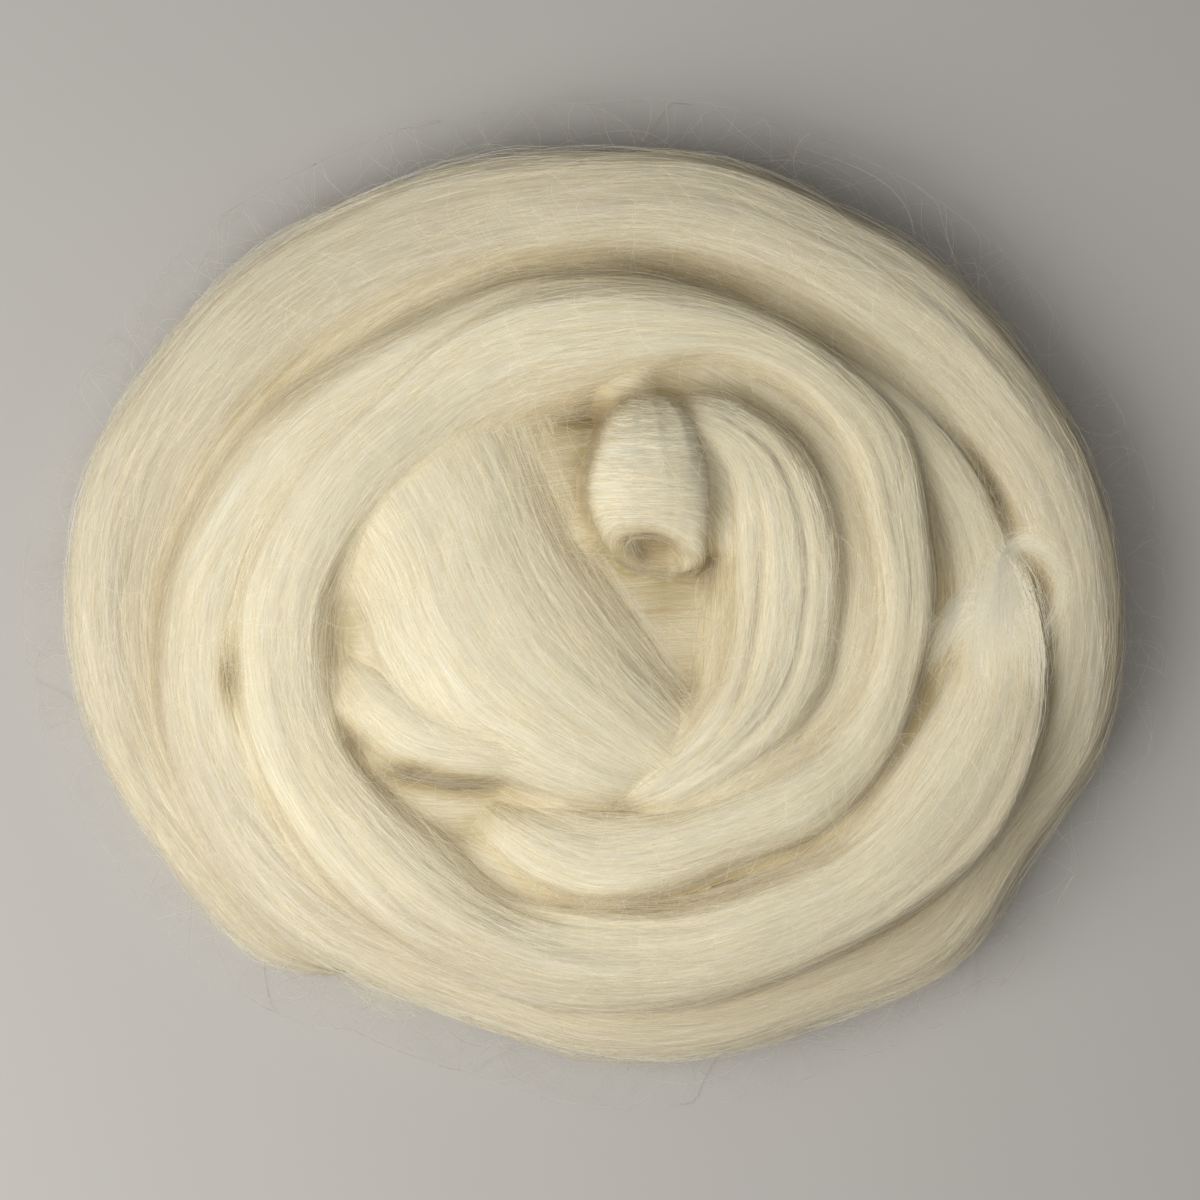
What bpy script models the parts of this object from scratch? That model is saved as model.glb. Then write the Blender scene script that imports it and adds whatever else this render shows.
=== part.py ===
"""A nest of wool roving: one long soft rope of combed fibre, laid round in turns with its middle folded up.

Units are metres. +Z is up, the nest rests on z = 0, and the origin is under the middle of its outline.
The tables are in millimetres, because that is how a roving is measured, and MM turns them into metres.
"""

from math import cos, pi, radians, sin

import bmesh
import bpy
from mathutils import Matrix, Vector

MM = 0.001

# Driving sizes
GAP = 0.5 * MM            # air between two pieces
SIDES = 20                # points round a length of roving
STEP = 5 * MM             # distance between two sections
TIP_ROUND = 9 * MM        # length over which an end rounds off
SINK = 1.5 * MM           # how far the soft rope presses into the table before the base is cut flat
FUSE_SIZE = 2.6 * MM      # grain of the fused body
SOFTEN_PASSES = 3
FUSE_SHARE = 0.17         # share of the fused body's triangles that is kept
BASE_SQUARENESS = 2.8     # the underside of a length is flatter than its top
TOP_SQUARENESS = 2.1

# The lower rope: it starts as a thin tail at the left, goes once round as the outer turn and once more inside it.
# bearing in degrees from +X, the radii of its inner and outer side, the height of its crest and of its underside
OUTER_TURNS = (
    # bearing, inner, outer, crest, under
    (236, 103, 110, 5, 0),
    (225, 102, 115, 9, 0),
    (210, 99, 117, 14, 0),
    (195, 97, 122, 17, 0),
    (180, 95, 124, 19, 0),
    (165, 91, 123, 21, 0),
    (150, 85, 119, 23, 0),
    (135, 80, 116, 24, 0),
    (120, 78, 111, 25, 0),
    (105, 78, 108, 26, 0),
    (90, 79, 107, 28, 0),
    (75, 80, 110, 29, 0),
    (60, 81, 111, 29, 0),
    (45, 83, 115, 28, 0),
    (30, 90, 118, 27, 0),
    (15, 97, 122, 26, 0),
    (0, 100, 124, 25, 0),
    (-15, 99, 124, 24, 0),
    (-30, 95, 118, 23, 0),
    (-45, 90, 120, 23, 0),
    (-60, 86, 112, 23, 0),
    (-75, 83, 110, 23, 0),
    (-90, 79, 107, 24, 0),
    (-105, 73, 103, 25, 0),
    (-120, 70, 104, 26, 0),
    (-135, 71, 108, 27, 0),
    (-150, 73, 108, 28, 0),
    (-165, 74, 107, 29, 0),
    (-180, 71, 103, 30, 0),
    (-195, 65, 97, 31, 0),
    (-210, 59, 91, 32, 0),
    (-225, 54, 84, 33, 0),
    (-240, 52, 80, 33, 0),
    (-255, 52, 79, 32, 0),
    (-270, 53, 78, 31, 0),
    (-285, 57, 80, 30, 0),
    (-300, 62, 82, 29, 0),
    (-315, 66, 86, 29, 0),
    (-330, 72, 93, 28, 0),
    (-345, 77, 99, 27, 0),
    (-360, 78, 102, 26, 0),
    (-376, 78, 99, 22, 0),
)

# The upper rope, from where its loose end lets go of it at the front right, once round and on into the inner ring.
UPPER_TURNS = (
    # bearing, inner, outer, crest, under
    (-84, 69, 95, 30, 0),
    (-95, 67, 94, 35, 0),
    (-105, 66, 93, 36, 0),
    (-120, 61, 92, 36, 0),
    (-135, 59, 90, 36, 0),
    (-150, 60, 88, 35, 0),
    (-165, 58, 87, 35, 0),
    (-180, 55, 85, 35, 0),
    (-195, 50, 81, 35, 0),
    (-210, 46, 77, 35, 0),
    (-225, 43, 74, 35, 0),
    (-240, 42, 75, 35, 0),
    (-255, 42, 76, 35, 0),
    (-270, 43, 77, 35, 0),
    (-285, 50, 78, 36, 0),
    (-300, 60, 80, 36, 0),
    (-315, 65, 82, 37, 0),
    (-330, 64, 85, 37, 0),
    (-345, 64, 81, 38, 0),
    (-360, 65, 80, 38, 0),
    (-375, 64, 79, 38, 0),
    (-390, 58, 80, 38, 0),
    (-405, 50, 78, 39, 0),
    (-420, 47, 72, 39, 0),
    (-435, 45, 71, 39, 0),
    (-450, 43, 71, 38, 0),
    (-465, 42, 67, 35, 0),
    (-480, 43, 60, 30, 0),
    (-498, 46, 58, 22, 0),
)

# The loose end: the same rope from where it comes away, up over the right side to the pulled tip.
LOOSE_END = (
    # bearing, inner, outer, crest, under
    (-91, 68, 95, 37, 22),
    (-75, 71, 97, 38, 23),
    (-60, 73, 99, 39, 24),
    (-45, 78, 103, 39, 24),
    (-30, 80, 108, 39, 24),
    (-15, 84, 109, 38, 25),
    (-4, 88, 109, 37, 26),
    (5, 94, 108, 35, 28),
    (11, 98, 107, 32, 29),
)

# The folded middle, as the left and right edge of each section in the plane, with crest and underside.
BROAD_FOLD = (
    # left x, left y, right x, right y, crest, under
    (-66, 14, -14, 52, 31, 6),
    (-57, -3, -9, 40, 37, 6),
    (-52, -14, -4, 27, 41, 6),
    (-47, -24, 2, 15, 43, 6),
    (-39, -33, 8, 3, 44, 6),
    (-26, -40, 15, -11, 44, 6),
    (-12, -45, 21, -25, 42, 6),
    (3, -47, 24, -35, 40, 6),
    (13, -48, 26, -43, 36, 6),
)
TUCKED_FOLD = (
    # left x, left y, right x, right y, crest, under
    (-61, -24, -50, -10, 30, 6),
    (-57, -31, -42, -14, 35, 6),
    (-48, -39, -33, -19, 38, 6),
    (-36, -42, -24, -22, 39, 6),
    (-24, -43, -14, -25, 39, 6),
    (-10, -46, -4, -30, 36, 6),
)
SIDE_FOLD = (
    # outer x, outer y, inner x, inner y, crest, under
    (8, -48, 3, -41, 35, 6),
    (20, -46, 10, -36, 39, 6),
    (35, -39, 18, -29, 42, 6),
    (47, -30, 21, -20, 44, 6),
    (55, -19, 23, -11, 45, 6),
    (58, -6, 24, -3, 45, 6),
    (59, 8, 25, 7, 46, 6),
    (56, 23, 26, 19, 46, 6),
    (49, 36, 25, 30, 46, 6),
    (38, 45, 22, 35, 44, 6),
    (25, 50, 16, 37, 42, 6),
    (12, 50, 10, 36, 37, 6),
)
VALLEY_LAYER = (
    # outer x, outer y, inner x, inner y, crest, under
    (30, 66, 22, 44, 32, 4),
    (50, 55, 35, 39, 35, 4),
    (67, 38, 47, 27, 35, 4),
    (74, 17, 52, 12, 35, 4),
    (73, -2, 53, -2, 35, 4),
    (68, -20, 49, -16, 34, 4),
    (54, -38, 41, -26, 33, 4),
    (36, -47, 27, -34, 30, 4),
)
MIDDLE_FLOOR = (
    # near x, near y, far x, far y, crest, under
    (-62, -34, -56, 24, 24, 0),
    (-40, -46, -36, 42, 30, 0),
    (-10, -48, -8, 50, 36, 0),
    (14, -48, 14, 52, 39, 0),
    (36, -44, 36, 48, 35, 0),
    (60, -30, 60, 36, 26, 0),
)

# The turns that lie hidden underneath, as one bed: from left to right, its near and far edge.
HIDDEN_BED = (
    # near x, near y, far x, far y, crest, under
    (-84, -30, -84, 22, 14, 0),
    (-62, -66, -62, 56, 19, 0),
    (-30, -84, -30, 82, 22, 0),
    (4, -90, 4, 90, 23, 0),
    (36, -90, 36, 88, 23, 0),
    (66, -76, 66, 78, 23, 0),
    (88, -54, 88, 58, 20, 0),
    (102, -24, 102, 26, 14, 0),
)

# The rolled-up tip in the middle: a short cone of fibre with an open lower end.
CURL_SECTIONS = (
    # left x, left y, right x, right y, crest, under
    (10, 49.5, 15, 49.5, 44, 38),
    (6.5, 47.5, 19.5, 48, 48, 36),
    (3, 43, 23, 44, 51, 35),
    (0, 36, 25.5, 37, 52.5, 34),
    (-2, 28, 27, 29, 53, 34),
    (-1, 21, 27, 21, 52, 34),
    (2, 15.5, 26, 13.5, 50, 34),
    (5, 12.5, 24, 10, 47, 35),
    (7, 11.5, 22, 9.5, 45.5, 36),
    (8, 13, 20.5, 12, 44, 37),
    (9, 17, 19, 17, 43, 38),
    (11, 21, 17, 21, 42, 39),
)
CURL_END_ROUND = 3 * MM


def start_scene():
    for obj in list(bpy.data.objects):
        bpy.data.objects.remove(obj)


def wool(name, colour):
    material = bpy.data.materials.new(name)
    material.use_nodes = True
    surface = material.node_tree.nodes["Principled BSDF"]
    surface.inputs["Base Color"].default_value = (*colour, 1)
    surface.inputs["Roughness"].default_value = 0.85
    surface.inputs["Metallic"].default_value = 0
    return material


def polar_edges(rows):
    """Rows by bearing and radius as rows of (inner edge, outer edge, crest, under), in metres."""
    found = []
    for bearing, inner, outer, crest, under in rows:
        way = Vector((cos(radians(bearing)), sin(radians(bearing)), 0))
        found.append((way * inner * MM, way * outer * MM, crest * MM, under * MM))
    return found


def plane_edges(rows):
    """Rows by the place of both edges, in the same form."""
    return [
        (Vector((xa, ya, 0)) * MM, Vector((xb, yb, 0)) * MM, crest * MM, under * MM)
        for xa, ya, xb, yb, crest, under in rows
    ]


def between(p, q, r, s, t):
    """A Catmull-Rom curve through q and r."""
    return 0.5 * (2 * q + (r - p) * t + (2 * p - 5 * q + 4 * r - s) * t * t + (3 * q - p - 3 * r + s) * t ** 3)


def sections(rows):
    """The rows again, evenly filled in between."""
    found = []
    last = len(rows) - 1
    for i in range(last):
        near = [rows[max(0, min(last, i + k))] for k in (-1, 0, 1, 2)]
        middle = [(row[0] + row[1]) / 2 for row in near]
        count = max(1, round((middle[2] - middle[1]).length / STEP))
        for k in range(count):
            found.append(tuple(between(*(row[c] for row in near), k / count) for c in range(4)))
    return found + [rows[-1]]


def power(value, exponent):
    return abs(value) ** exponent * (1 if value >= 0 else -1)


def section_point(section, turn, shrink):
    """A point on a flattened round section: turn goes once round it from 0 to 1."""
    inner, outer, crest, under = section
    angle = 2 * pi * turn
    squareness = TOP_SQUARENESS if sin(angle) >= 0 else BASE_SQUARENESS
    across = power(cos(angle), 2 / squareness) * shrink
    up = power(sin(angle), 2 / squareness) * shrink
    place = (inner + outer) / 2 + (outer - inner) / 2 * across
    place.z = (crest + under) / 2 + (crest - under) / 2 * up
    return place


def rolled_grid(name, stations, place):
    """A flat grid rolled round into a closed tube: place(station, turn) says where each of its points goes."""
    shape = bmesh.new()
    bmesh.ops.create_grid(shape, x_segments=stations, y_segments=SIDES, size=0.5)
    for vertex in shape.verts:
        station = round((vertex.co.x + 0.5) * stations)
        vertex.co = place(station, (vertex.co.y + 0.5) % 1)
    bmesh.ops.remove_doubles(shape, verts=shape.verts, dist=0.01 * MM)
    bmesh.ops.recalc_face_normals(shape, faces=shape.faces)
    mesh = bpy.data.meshes.new(name)
    shape.to_mesh(mesh)
    shape.free()
    obj = bpy.data.objects.new(name, mesh)
    bpy.context.collection.objects.link(obj)
    return obj


def roving(name, rows, sink=0.0, tip_round=TIP_ROUND):
    """One length of roving as a closed tube with round ends. With a sink, its base goes that far under the table."""
    cut = sections(rows)
    middles = [(section[0] + section[1]) / 2 for section in cut]
    along = [0.0]
    for a, b in zip(middles, middles[1:]):
        along.append(along[-1] + (b - a).length)

    def place(station, turn):
        from_end = min(along[station], along[-1] - along[station])
        share = min(1.0, from_end / tip_round)
        point = section_point(cut[station], turn, (1 - (1 - share) ** 2) ** 0.5)
        if sink and point.z < sink:
            point.z = -sink
        return point

    return rolled_grid(name, len(cut) - 1, place)


def modifier(obj, kind, name, **settings):
    made = obj.modifiers.new(name, kind)
    for key, value in settings.items():
        setattr(made, key, value)
    return made


def apply_modifiers(obj):
    graph = bpy.context.evaluated_depsgraph_get()
    mesh = bpy.data.meshes.new_from_object(obj.evaluated_get(graph))
    obj.modifiers.clear()
    obj.data = mesh


def joined(name, parts):
    """All the lengths as one object; they still overlap."""
    shape = bmesh.new()
    for part in parts:
        shape.from_mesh(part.data)
        bpy.data.objects.remove(part)
    mesh = bpy.data.meshes.new(name)
    shape.to_mesh(mesh)
    shape.free()
    obj = bpy.data.objects.new(name, mesh)
    bpy.context.collection.objects.link(obj)
    return obj


def cutter_box(name, low, high):
    shape = bmesh.new()
    bmesh.ops.create_cube(shape, size=1)
    size = high - low
    middle = (high + low) / 2
    bmesh.ops.transform(shape, matrix=Matrix.Translation(middle) @ Matrix.Diagonal((*size, 1)), verts=shape.verts)
    mesh = bpy.data.meshes.new(name)
    shape.to_mesh(mesh)
    shape.free()
    obj = bpy.data.objects.new(name, mesh)
    bpy.context.collection.objects.link(obj)
    return obj


def hide_as_cutter(obj):
    obj.hide_render = True
    obj.display_type = "WIRE"


def fatter_copy(obj, by):
    """A copy of a closed piece, pushed out along its normals, to cut its seat with."""
    copy = bpy.data.objects.new(obj.name + "_seat", obj.data.copy())
    bpy.context.collection.objects.link(copy)
    for vertex, normal in zip(copy.data.vertices, [v.normal.copy() for v in copy.data.vertices]):
        vertex.co += normal * by
    hide_as_cutter(copy)
    return copy


def cut_by(obj, cutter):
    modifier(obj, "BOOLEAN", "cut " + cutter.name, operation="DIFFERENCE", object=cutter, solver="EXACT")


def main():
    start_scene()
    fleece = wool("natural wool", (0.80, 0.74, 0.58))
    shaded = wool("natural wool, inner folds", (0.76, 0.69, 0.52))

    loose = roving("loose_end", polar_edges(LOOSE_END))
    curl = roving("curled_tip", plane_edges(CURL_SECTIONS), tip_round=CURL_END_ROUND)
    lengths = [
        roving("outer turns", polar_edges(OUTER_TURNS), SINK),
        roving("upper turns", polar_edges(UPPER_TURNS), SINK),
        roving("broad fold", plane_edges(BROAD_FOLD)),
        roving("tucked fold", plane_edges(TUCKED_FOLD)),
        roving("side fold", plane_edges(SIDE_FOLD)),
        roving("valley layer", plane_edges(VALLEY_LAYER)),
        roving("middle floor", plane_edges(MIDDLE_FLOOR), SINK),
        roving("hidden bed", plane_edges(HIDDEN_BED), SINK),
    ]
    nest = joined("wound_nest", lengths)
    modifier(nest, "REMESH", "fuse the turns", mode="VOXEL", voxel_size=FUSE_SIZE)
    modifier(nest, "SMOOTH", "soften the creases", factor=0.5, iterations=SOFTEN_PASSES)
    modifier(nest, "DECIMATE", "fewer faces", ratio=FUSE_SHARE)
    apply_modifiers(nest)

    below = cutter_box("table", Vector((-0.2, -0.2, -0.05)), Vector((0.2, 0.2, 0)))
    hide_as_cutter(below)
    cut_by(nest, below)
    for piece in (loose, curl):
        cut_by(nest, fatter_copy(piece, GAP))

    for obj, material in ((nest, fleece), (loose, fleece), (curl, shaded)):
        obj.data.materials.clear()
        obj.data.materials.append(material)
        obj.data.shade_smooth()


main()
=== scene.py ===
# %% [markdown]
# # A nest of wool roving
#
# Roving is wool that has been combed but not spun: one thick soft rope of fibres that lie side by side.
# This one is laid round in a nest of turns, with one end pulled and frayed and the other curled up in the
# middle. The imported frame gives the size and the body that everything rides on. The looks are made here.

from math import cos, pi, radians, sin, sqrt

import bmesh
import bpy
import numpy as np
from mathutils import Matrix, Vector
from mathutils.bvhtree import BVHTree


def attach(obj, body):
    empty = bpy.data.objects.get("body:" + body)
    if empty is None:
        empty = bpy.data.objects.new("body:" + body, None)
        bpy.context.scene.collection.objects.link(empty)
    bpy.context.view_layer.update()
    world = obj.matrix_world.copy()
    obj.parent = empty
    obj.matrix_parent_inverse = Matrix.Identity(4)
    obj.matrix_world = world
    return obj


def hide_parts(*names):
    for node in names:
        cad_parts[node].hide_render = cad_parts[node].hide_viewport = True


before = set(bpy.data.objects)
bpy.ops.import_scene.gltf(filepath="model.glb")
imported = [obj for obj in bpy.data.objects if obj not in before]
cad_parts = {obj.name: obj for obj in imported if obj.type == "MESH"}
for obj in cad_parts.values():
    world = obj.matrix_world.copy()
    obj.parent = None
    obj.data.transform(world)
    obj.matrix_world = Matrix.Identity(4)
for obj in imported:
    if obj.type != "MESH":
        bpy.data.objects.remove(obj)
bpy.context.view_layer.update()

MM = 0.001
chance = np.random.default_rng(7)

# %% [markdown]
# ## The camera and the light
#
# The nest is looked at from straight above. A long lens from far away keeps the high middle from looking
# larger than the low outer turn. The light is one large soft panel low at the left, a weaker one high up
# at the front, and a pale sky, so the turns stand out round and no edge is hard.

# %% Camera
VIEW_WIDTH = 283 * MM
VIEW_MIDDLE = Vector((1.2 * MM, 1.0 * MM, 0))
CAMERA_HEIGHT = 1.7

lens = bpy.data.cameras.new("camera")
lens.lens = 100
lens.sensor_width = 100 * VIEW_WIDTH / (CAMERA_HEIGHT - 25 * MM)
camera = bpy.data.objects.new("camera", lens)
camera.location = VIEW_MIDDLE + Vector((0, 0, CAMERA_HEIGHT))
bpy.context.scene.collection.objects.link(camera)
bpy.context.scene.camera = camera

# %% Light


def panel(name, place, size, power, colour):
    """A round soft light that faces the middle of the nest."""
    light = bpy.data.lights.new(name, "AREA")
    light.shape = "DISK"
    light.size = size
    light.energy = power
    light.color = colour
    obj = bpy.data.objects.new(name, light)
    obj.location = place
    obj.rotation_mode = "QUATERNION"
    obj.rotation_quaternion = (-Vector(place)).to_track_quat("-Z", "Y")
    bpy.context.scene.collection.objects.link(obj)
    return obj


panel("window", (-0.44, -0.20, 0.54), 0.7, 4.3, (1.0, 0.995, 0.985))
panel("fill", (-0.1, -0.3, 1.3), 1.0, 1.9, (1.0, 0.995, 0.985))
sky = bpy.data.worlds.new("sky")
sky.use_nodes = True
sky.node_tree.nodes["Background"].inputs["Color"].default_value = (1, 0.995, 0.985, 1)
sky.node_tree.nodes["Background"].inputs["Strength"].default_value = 0.27
bpy.context.scene.world = sky
bpy.context.scene.view_settings.view_transform = "Standard"

# %% [markdown]
# ## How the lengths lie
#
# The nest is one length of roving that crosses itself, with a few folds in the middle. Each stretch that
# shows gets a table. A row says where one section lies, how high its top is and what it rests on. The
# turns could follow one spiral with noise on it, but wool laid by hand wanders: each turn is wide here
# and thin there, and slides under its neighbour. A row every 15 degrees says that directly, and can be
# read and changed.

# %% Tables: the lie of each length

# bearings are in degrees and everything else is in millimetres
OUTER_TURNS = (
    # bearing, inner, outer, crest, under
    (236, 104, 109, 4, 0),
    (225, 102, 115, 9, 0),
    (210, 99, 117, 14, 0),
    (195, 97, 122, 17, 0),
    (180, 95, 124, 19, 0),
    (165, 91, 123, 21, 0),
    (150, 85, 119, 23, 0),
    (135, 80, 116, 24, 0),
    (120, 78, 111, 25, 0),
    (105, 78, 108, 26, 0),
    (90, 79, 107, 28, 0),
    (75, 80, 110, 29, 0),
    (60, 81, 111, 29, 0),
    (45, 83, 115, 28, 0),
    (30, 90, 118, 28, 0),
    (15, 97, 122, 28, 0),
    (0, 100, 124, 28, 0),
    (-15, 99, 124, 27, 0),
    (-30, 95, 118, 26, 0),
    (-45, 90, 120, 25, 0),
    (-60, 86, 112, 24, 0),
    (-75, 83, 110, 23, 0),
    (-90, 79, 107, 24, 0),
    (-105, 73, 103, 25, 0),
    (-120, 70, 104, 26, 0),
    (-135, 71, 108, 27, 0),
    (-150, 73, 108, 28, 0),
    (-165, 74, 107, 29, 0),
    (-180, 71, 103, 30, 0),
    (-195, 65, 97, 31, 0),
    (-210, 59, 91, 32, 0),
    (-225, 54, 84, 33, 0),
    (-240, 52, 80, 33, 0),
    (-255, 52, 79, 32, 0),
    (-270, 53, 78, 31, 0),
    (-285, 57, 80, 30, 0),
    (-300, 62, 82, 29, 0),
    (-315, 66, 86, 29, 0),
    (-330, 72, 93, 28, 0),
    (-345, 77, 99, 27, 0),
    (-360, 78, 102, 26, 0),
    (-376, 78, 99, 22, 0),
)
UPPER_TURNS = (
    # bearing, inner, outer, crest, under
    (-84, 69, 95, 30, 0),
    (-95, 67, 94, 35, 0),
    (-105, 66, 93, 36, 0),
    (-120, 61, 92, 36, 0),
    (-135, 59, 90, 36, 0),
    (-150, 60, 88, 35, 0),
    (-165, 58, 87, 35, 0),
    (-180, 55, 85, 35, 0),
    (-195, 50, 81, 35, 0),
    (-210, 46, 77, 35, 0),
    (-225, 43, 74, 35, 0),
    (-240, 42, 75, 35.5, 0),
    (-255, 42, 76, 36.5, 0),
    (-270, 43, 77, 37, 0),
    (-285, 50, 78, 37, 0),
    (-300, 60, 80, 36, 0),
    (-315, 65, 82, 37, 0),
    (-330, 64, 85, 37, 0),
    (-345, 64, 81, 38, 0),
    (-360, 65, 80, 38, 0),
    (-375, 64, 79, 38, 0),
    (-390, 58, 80, 38, 0),
    (-405, 50, 78, 39, 0),
    (-420, 47, 72, 39, 0),
    (-435, 45, 71, 39, 0),
    (-450, 43, 71, 38, 0),
    (-464, 42, 67, 35, 0),
    (-475, 43, 62, 30, 0),
    (-487, 46, 58, 20, 0),
)
LOOSE_END = (
    # bearing, inner, outer, crest, under
    (-91, 68, 95, 37, 22),
    (-75, 71, 97, 38, 23),
    (-60, 73, 99, 39, 24),
    (-45, 78, 103, 38.5, 24),
    (-30, 80, 108, 37.5, 24),
    (-15, 84, 108, 36, 23),
    (-4, 86, 105, 34, 22),
    (3, 89, 102, 31, 21),
    (9, 93, 99, 28, 21),
)
BROAD_FOLD = (
    # left x, left y, right x, right y, crest, under
    (-76, 28, -24, 64, 25, 6),
    (-66, 13, -14, 52, 31, 6),
    (-57, -3, -9, 40, 36, 6),
    (-53, -14, -4, 27, 40, 6),
    (-47, -24, 2, 15, 42, 6),
    (-39, -33, 9, 4, 42.5, 6),
    (-26, -40, 17, -8, 42, 6),
    (-13, -45, 26, -19, 40, 6),
    (0, -48, 33, -29, 37, 6),
    (12, -50, 38, -38, 33, 6),
)
TUCKED_FOLD = (
    # left x, left y, right x, right y, crest, under
    (-67, -14, -56, 0, 25, 6),
    (-62, -24, -50, -8, 30, 6),
    (-57, -31, -42, -14, 35, 6),
    (-48, -39, -33, -19, 38, 6),
    (-36, -42, -24, -22, 39, 6),
    (-24, -43, -14, -25, 39, 6),
    (-10, -46, -4, -30, 36, 6),
)
SIDE_FOLD = (
    # outer x, outer y, inner x, inner y, crest, under
    (4, -51, -1, -46, 30, 6),
    (20, -47, 10, -38, 37.5, 6),
    (35, -39, 18, -29, 41.5, 6),
    (47, -30, 22, -20, 42.5, 6),
    (55, -19, 23, -11, 42, 6),
    (58, -6, 24, -3, 42, 6),
    (59, 8, 25, 7, 43, 6),
    (56, 23, 26, 19, 44, 6),
    (49, 36, 25, 30, 45, 6),
    (38, 45, 22, 35, 45, 6),
    (26, 50, 17, 37, 43, 6),
    (14, 51, 12, 37, 40, 6),
)
VALLEY_LAYER = (
    # outer x, outer y, inner x, inner y, crest, under
    (30, 66, 22, 44, 32, 4),
    (50, 55, 35, 39, 35, 4),
    (67, 38, 47, 27, 35, 4),
    (74, 17, 52, 12, 35, 4),
    (73, -2, 53, -2, 35, 4),
    (68, -20, 49, -16, 34, 4),
    (54, -38, 41, -26, 33, 4),
    (36, -47, 27, -34, 30, 4),
)
MIDDLE_FLOOR = (
    # near x, near y, far x, far y, crest, under
    (-66, -40, -60, 24, 29, 0),
    (-44, -57, -40, 42, 33, 0),
    (-10, -57, -8, 50, 32, 0),
    (14, -54, 14, 52, 30, 0),
    (36, -48, 36, 48, 30, 0),
    (60, -30, 60, 36, 26, 0),
)
HIDDEN_BED = (
    # near x, near y, far x, far y, crest, under
    (-84, -30, -84, 22, 14, 0),
    (-62, -66, -62, 56, 19, 0),
    (-30, -84, -30, 82, 22, 0),
    (4, -90, 4, 90, 23, 0),
    (36, -90, 36, 88, 23, 0),
    (66, -76, 66, 78, 23, 0),
    (88, -54, 88, 58, 20, 0),
    (102, -24, 102, 26, 14, 0),
)
CURL_SECTIONS = (
    # left x, left y, right x, right y, crest, under
    (9, 49.5, 14, 49.5, 39.5, 35),
    (5.5, 47.5, 18.5, 48, 42.5, 34),
    (2.5, 43, 22.5, 44, 47, 34),
    (0, 36, 25.5, 37, 51, 34),
    (-2, 28, 27, 29, 53, 34),
    (-1, 21, 27, 21, 52, 34),
    (2, 15.5, 26, 13.5, 50, 34),
    (5, 12.5, 24, 10, 47, 35),
    (7, 11.5, 22, 9.5, 45.5, 36),
    (8, 13, 20.5, 12, 44, 37),
    (9, 17, 19, 17, 43, 38),
    (11, 21, 17, 21, 42, 39),
)

# %% [markdown]
# ## From rows to a smooth rope
#
# A rope of combed wool has no corners along its run, so the rows are joined by a smooth curve and cut
# again into sections the same distance apart. Wool is also never even. Slow random swells make its soft
# locks, and finer ones its strands. They are stretched along the rope, because fibres that lie side by
# side swell together.

# %% Sections along a length


def polar_edges(rows):
    """Rows of bearing, inner and outer radius as rows of two edges in the plane."""
    found = []
    for bearing, inner, outer, crest, under in rows:
        way = np.array((cos(radians(bearing)), sin(radians(bearing))))
        found.append((*(way * inner), *(way * outer), crest, under))
    return np.array(found)


def evenly(rows, step):
    """The rows as a smooth run of sections that far apart, in millimetres, and how far along each one is."""
    rows = np.array(rows, float)
    padded = np.vstack([rows[0], rows, rows[-1]])
    fine = []
    for p, q, r, s in zip(padded, padded[1:], padded[2:], padded[3:]):
        t = np.linspace(0, 1, 24, endpoint=False)[:, None]
        second, third = 2 * p - 5 * q + 4 * r - s, 3 * q - p - 3 * r + s
        fine.append(0.5 * (2 * q + (r - p) * t + second * t ** 2 + third * t ** 3))
    fine = np.vstack([*fine, rows[-1:]])
    middle = (fine[:, :2] + fine[:, 2:4]) / 2
    along = np.concatenate([[0], np.cumsum(np.linalg.norm(np.diff(middle, axis=0), axis=1))])
    count = max(4, round(along[-1] / step))
    at = np.linspace(0, along[-1], count + 1)
    return np.column_stack([np.interp(at, along, column) for column in fine.T]), at


def ripple(at_along, at_round, long_grain, round_count, seed):
    """Smooth random heights from -1 to 1, long_grain millimetres apart along, round_count of them round."""
    rng = np.random.default_rng(seed)
    columns = int(at_along.max() / long_grain) + 3
    knots = rng.uniform(-1, 1, (columns, round_count))
    x = at_along / long_grain
    y = (at_round % 1) * round_count
    i, j = np.floor(x).astype(int), np.floor(y).astype(int)
    fx, fy = x - i, y - j
    fx, fy = fx * fx * (3 - 2 * fx), fy * fy * (3 - 2 * fy)
    j0, j1 = j % round_count, (j + 1) % round_count
    near = knots[i, j0] * (1 - fy) + knots[i, j1] * fy
    far = knots[i + 1, j0] * (1 - fy) + knots[i + 1, j1] * fy
    return near * (1 - fx) + far * fx


# %% [markdown]
# ## The surface of each length
#
# Each section is a rounded box: flat where the wool rests and full on top. Its top leans, because a turn
# that lies over its neighbour stands up at the edge that rests on it. Splits are shallow grooves where a
# fold has come apart into strands. The grid of places is kept, because the fibres are laid on it later. A
# simulation of a soft rope could give such shapes, but it would not lie as this nest does.

# %% Surfaces: a grid of places on each length

GRID_STEP = 1.5
GRID_SIDES = 192
LOCK_RIPPLES = (
    # height, millimetres from one swell to the next along, and how many swells round
    (1.6, 60, 7),
    (0.75, 60, 17),
    (0.26, 45, 37),
    (0.07, 34, 80),
)


def power(value, exponent):
    """A power that keeps the sign, for a rounded box."""
    return np.abs(value) ** exponent * np.sign(value)


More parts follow.
